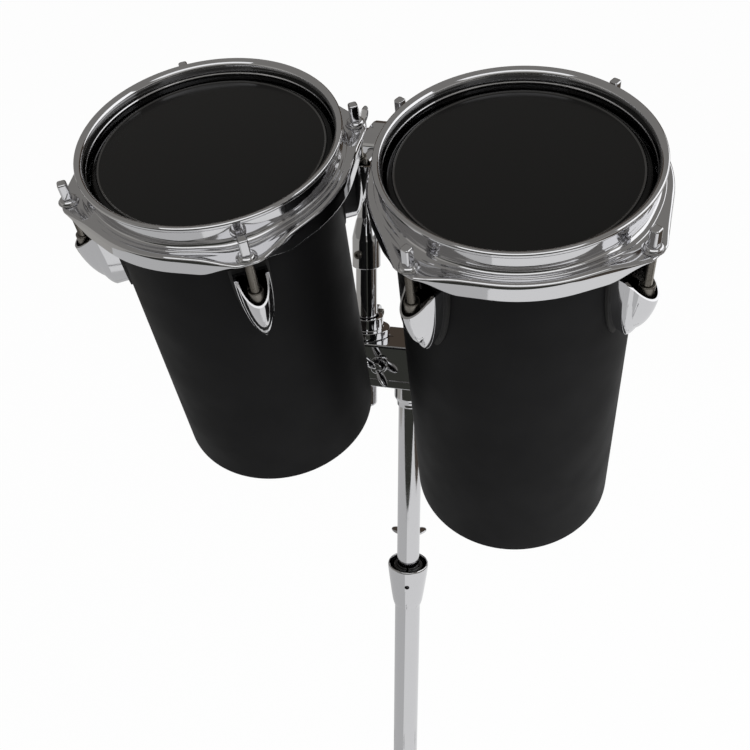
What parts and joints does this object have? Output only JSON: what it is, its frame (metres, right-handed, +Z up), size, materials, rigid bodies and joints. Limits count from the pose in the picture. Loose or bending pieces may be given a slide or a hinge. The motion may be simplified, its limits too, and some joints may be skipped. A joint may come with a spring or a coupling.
{
  "type": "octoban pair on a stand",
  "caption": "Narrow single-headed tom drums, side by side, tilted towards the player on a double holder and a folding tripod stand.",
  "frame": {"origin": "on the floor, under the middle of the whole object as it stands", "axes": "+Z up, +X to the right of someone who looks at the heads, -Y towards that person"},
  "size_m": [0.623, 0.5428, 1.04],
  "materials": {
    "chrome": "bright chrome plate over polished steel and die castings",
    "shell_black": "matt black wrap over a thin ply tube",
    "head_film": "black polyester film, satin sheen",
    "nylon": "dark moulded nylon",
    "foot_rubber": "matt moulded rubber"
  },
  "bodies": {
    "root": {"lower_tube": "chrome", "height_clamp_cup": "chrome", "clamp_bushing": "nylon", "spider": "chrome"},
    "upper": {"upper_tube": "chrome", "platform": "chrome"},
    "height_wing": {"height_wing_bolt": "chrome"},
    "hub": {"leg_hub": "chrome"},
    "hub_wing": {"hub_wing_bolt": "chrome"},
    "left_post_body": {"left_post": "chrome", "left_memory_lock": "chrome"},
    "left_yoke": {"left_tilter_yoke": "chrome"},
    "left_tilter_wing": {"left_tilter_wing_bolt": "chrome"},
    "left_tilt": {"left_tilt_block": "chrome", "left_arm": "chrome"},
    "left_drum": {"left_shell": "shell_black", "left_head": "head_film", "left_hoop": "chrome", "left_lug_1": "chrome", "left_lug_2": "chrome", "left_lug_3": "chrome", "left_lug_4": "chrome", "left_bracket": "chrome"},
    "left_bracket_wing": {"left_bracket_wing_bolt": "chrome"},
    "left_platform_wing": {"left_platform_wing_bolt": "chrome"},
    "left_rod_1": {"left_tension_rod_1": "chrome"},
    "left_rod_2": {"left_tension_rod_2": "chrome"},
    "left_rod_3": {"left_tension_rod_3": "chrome"},
    "left_rod_4": {"left_tension_rod_4": "chrome"},
    "right_post_body": {"right_post": "chrome", "right_memory_lock": "chrome"},
    "right_yoke": {"right_tilter_yoke": "chrome"},
    "right_tilter_wing": {"right_tilter_wing_bolt": "chrome"},
    "right_tilt": {"right_tilt_block": "chrome", "right_arm": "chrome"},
    "right_drum": {"right_shell": "shell_black", "right_head": "head_film", "right_hoop": "chrome", "right_lug_1": "chrome", "right_lug_2": "chrome", "right_lug_3": "chrome", "right_lug_4": "chrome", "right_bracket": "chrome"},
    "right_bracket_wing": {"right_bracket_wing_bolt": "chrome"},
    "right_platform_wing": {"right_platform_wing_bolt": "chrome"},
    "right_rod_1": {"right_tension_rod_1": "chrome"},
    "right_rod_2": {"right_tension_rod_2": "chrome"},
    "right_rod_3": {"right_tension_rod_3": "chrome"},
    "right_rod_4": {"right_tension_rod_4": "chrome"},
    "leg_1_body": {"leg_1": "chrome", "foot_1": "foot_rubber"},
    "brace_1_body": {"brace_1": "chrome"},
    "leg_2_body": {"leg_2": "chrome", "foot_2": "foot_rubber"},
    "brace_2_body": {"brace_2": "chrome"},
    "leg_3_body": {"leg_3": "chrome", "foot_3": "foot_rubber"},
    "brace_3_body": {"brace_3": "chrome"}
  },
  "joints": [
    {"name": "height_slide", "type": "slide", "parent": "root", "child": "upper", "axis": [0, 0, 1], "range_m": [-0.1, 0.12]},
    {"name": "height_wing_turn", "type": "hinge", "parent": "root", "child": "height_wing", "pos_m": [-0.00585, 0.11163, 0.556], "axis": [-0.225, 0.9744, 0], "continuous": true},
    {"name": "left_post_slide", "type": "slide", "parent": "upper", "child": "left_post_body", "axis": [0, 0, 1], "range_m": [0, 0.04]},
    {"name": "left_swivel", "type": "hinge", "parent": "left_post_body", "child": "left_yoke", "pos_m": [-0.0425, 0.0863, 0.86], "axis": [0, 0, 1], "range_deg": [-40, 1]},
    {"name": "left_tilter_wing_turn", "type": "hinge", "parent": "left_yoke", "child": "left_tilter_wing", "pos_m": [-0.05197, 0.10014, 0.967], "axis": [0, 0, 1], "continuous": true},
    {"name": "left_tilt", "type": "hinge", "parent": "left_yoke", "child": "left_tilt", "pos_m": [-0.02658, 0.08161, 0.959], "axis": [0.9592, -0.2828, 0], "range_deg": [-28, 2]},
    {"name": "left_drum_slide", "type": "slide", "parent": "left_tilt", "child": "left_drum", "axis": [0.0373, -0.4777, 0.8777], "range_m": [0, 0.025]},
    {"name": "left_bracket_wing_turn", "type": "hinge", "parent": "left_drum", "child": "left_bracket_wing", "pos_m": [-0.04611, -0.00851, 0.95577], "axis": [0.2519, 0.8545, 0.4544], "continuous": true},
    {"name": "left_platform_wing_turn", "type": "hinge", "parent": "upper", "child": "left_platform_wing", "pos_m": [-0.023, 0.0573, 0.765], "axis": [0, -1, 0], "continuous": true},
    {"name": "left_rod_turn_1", "type": "hinge", "parent": "left_drum", "child": "left_rod_1", "pos_m": [0.00762, -0.10965, 1.00325], "axis": [0.0373, -0.4777, 0.8777], "continuous": true},
    {"name": "left_rod_turn_2", "type": "hinge", "parent": "left_drum", "child": "left_rod_2", "pos_m": [-0.12164, -0.08447, 1.02245], "axis": [0.0373, -0.4777, 0.8777], "continuous": true},
    {"name": "left_rod_turn_3", "type": "hinge", "parent": "left_drum", "child": "left_rod_3", "pos_m": [-0.15291, -0.19864, 0.96164], "axis": [0.0373, -0.4777, 0.8777], "continuous": true},
    {"name": "left_rod_turn_4", "type": "hinge", "parent": "left_drum", "child": "left_rod_4", "pos_m": [-0.02365, -0.22382, 0.94244], "axis": [0.0373, -0.4777, 0.8777], "continuous": true},
    {"name": "right_post_slide", "type": "slide", "parent": "upper", "child": "right_post_body", "axis": [0, 0, 1], "range_m": [0, 0.04]},
    {"name": "right_swivel", "type": "hinge", "parent": "right_post_body", "child": "right_yoke", "pos_m": [0.0425, 0.0863, 0.86], "axis": [0, 0, 1], "range_deg": [-1, 40]},
    {"name": "right_tilter_wing_turn", "type": "hinge", "parent": "right_yoke", "child": "right_tilter_wing", "pos_m": [0.02689, 0.09244, 0.967], "axis": [0, 0, 1], "continuous": true},
    {"name": "right_tilt", "type": "hinge", "parent": "right_yoke", "child": "right_tilt", "pos_m": [0.05847, 0.0914, 0.959], "axis": [0.9526, 0.3043, 0], "range_deg": [-28, 2]},
    {"name": "right_drum_slide", "type": "slide", "parent": "right_tilt", "child": "right_drum", "axis": [0.0373, -0.4777, 0.8777], "range_m": [0, 0.025]},
    {"name": "right_bracket_wing_turn", "type": "hinge", "parent": "right_drum", "child": "right_bracket_wing", "pos_m": [0.08534, -0.01009, 0.95754], "axis": [-0.2687, 0.8412, 0.4693], "continuous": true},
    {"name": "right_platform_wing_turn", "type": "hinge", "parent": "upper", "child": "right_platform_wing", "pos_m": [0.023, 0.0573, 0.765], "axis": [0, -1, 0], "continuous": true},
    {"name": "right_rod_turn_1", "type": "hinge", "parent": "right_drum", "child": "right_rod_1", "pos_m": [0.16834, -0.08201, 1.01969], "axis": [0.0373, -0.4777, 0.8777], "continuous": true},
    {"name": "right_rod_turn_2", "type": "hinge", "parent": "right_drum", "child": "right_rod_2", "pos_m": [0.03965, -0.11377, 1.00787], "axis": [0.0373, -0.4777, 0.8777], "continuous": true},
    {"name": "right_rod_turn_3", "type": "hinge", "parent": "right_drum", "child": "right_rod_3", "pos_m": [0.07317, -0.22628, 0.94521], "axis": [0.0373, -0.4777, 0.8777], "continuous": true},
    {"name": "right_rod_turn_4", "type": "hinge", "parent": "right_drum", "child": "right_rod_4", "pos_m": [0.20186, -0.19452, 0.95702], "axis": [0.0373, -0.4777, 0.8777], "continuous": true},
    {"name": "hub_slide", "type": "slide", "parent": "root", "child": "hub", "axis": [0, 0, 1], "range_m": [-0.001, 0.181]},
    {"name": "hub_wing_turn", "type": "hinge", "parent": "hub", "child": "hub_wing", "pos_m": [0, 0.1083, 0.256], "axis": [0, 1, 0], "continuous": true},
    {"name": "leg_fold_1", "type": "hinge", "parent": "hub", "child": "leg_1_body", "pos_m": [0, 0.0603, 0.256], "axis": [1, 0, 0], "range_deg": [0, 49.25]},
    {"name": "brace_fold_1", "type": "hinge", "parent": "root", "child": "brace_1_body", "pos_m": [0, 0.0603, 0.062], "axis": [1, 0, 0], "range_deg": [-62.4, 0.2]},
    {"name": "leg_fold_2", "type": "hinge", "parent": "hub", "child": "leg_2_body", "pos_m": [0.02252, 0.0993, 0.256], "axis": [-0.5, 0.866, 0], "range_deg": [0, 49.25]},
    {"name": "brace_fold_2", "type": "hinge", "parent": "root", "child": "brace_2_body", "pos_m": [0.02252, 0.0993, 0.062], "axis": [-0.5, 0.866, 0], "range_deg": [-62.4, 0.2]},
    {"name": "leg_fold_3", "type": "hinge", "parent": "hub", "child": "leg_3_body", "pos_m": [-0.02252, 0.0993, 0.256], "axis": [-0.5, -0.866, 0], "range_deg": [0, 49.25]},
    {"name": "brace_fold_3", "type": "hinge", "parent": "root", "child": "brace_3_body", "pos_m": [-0.02252, 0.0993, 0.062], "axis": [-0.5, -0.866, 0], "range_deg": [-62.4, 0.2]}
  ],
  "couplings": [
    {"joint": "hub_slide", "follows": "leg_fold_1", "m_per_rad": 0.20822},
    {"joint": "leg_fold_2", "follows": "leg_fold_1", "ratio": 1},
    {"joint": "leg_fold_3", "follows": "leg_fold_1", "ratio": 1},
    {"joint": "brace_fold_1", "follows": "leg_fold_1", "ratio": -1.2629},
    {"joint": "brace_fold_2", "follows": "leg_fold_1", "ratio": -1.2629},
    {"joint": "brace_fold_3", "follows": "leg_fold_1", "ratio": -1.2629}
  ]
}
